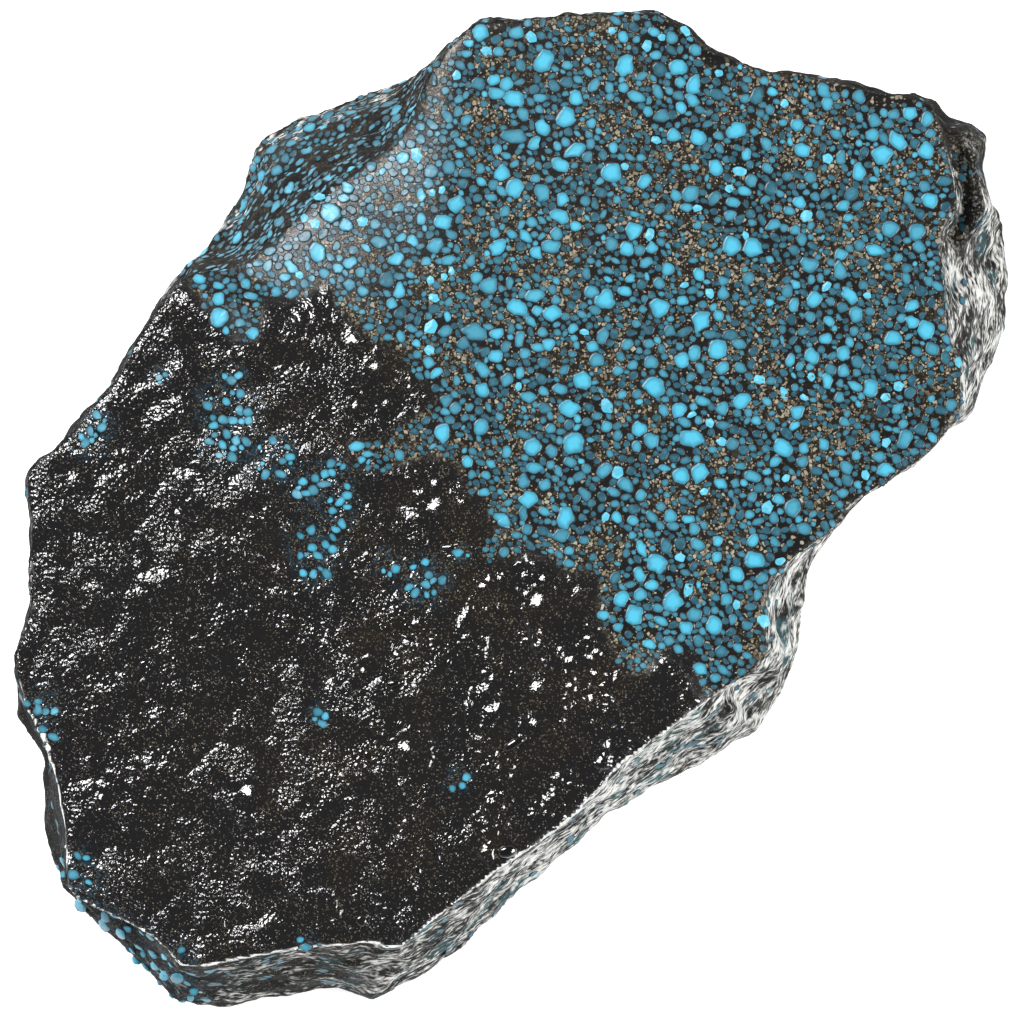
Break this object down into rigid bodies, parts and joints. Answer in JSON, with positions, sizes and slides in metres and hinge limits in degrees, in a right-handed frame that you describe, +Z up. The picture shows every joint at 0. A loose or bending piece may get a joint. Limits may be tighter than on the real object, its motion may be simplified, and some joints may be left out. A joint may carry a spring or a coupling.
{
  "type": "raw turquoise nugget",
  "caption": "Flat irregular oval slab of nodular turquoise in dark matrix, broken steeply all round, lying on its flat underside.",
  "frame": {"origin": "middle of the stone's outline, on the surface that it lies on", "axes": "+Z up through the slab's thickness, the blue nodule field's corner towards +X and +Y, the black crust towards -X and -Y"},
  "size_m": [0.0805, 0.0805, 0.0123],
  "materials": {
    "turquoise_rock": "glossy, sky-blue nodules in brown-black matrix, with a glossy black crust"
  },
  "bodies": {
    "root": {"turquoise_nugget": "turquoise_rock"}
  },
  "joints": []
}
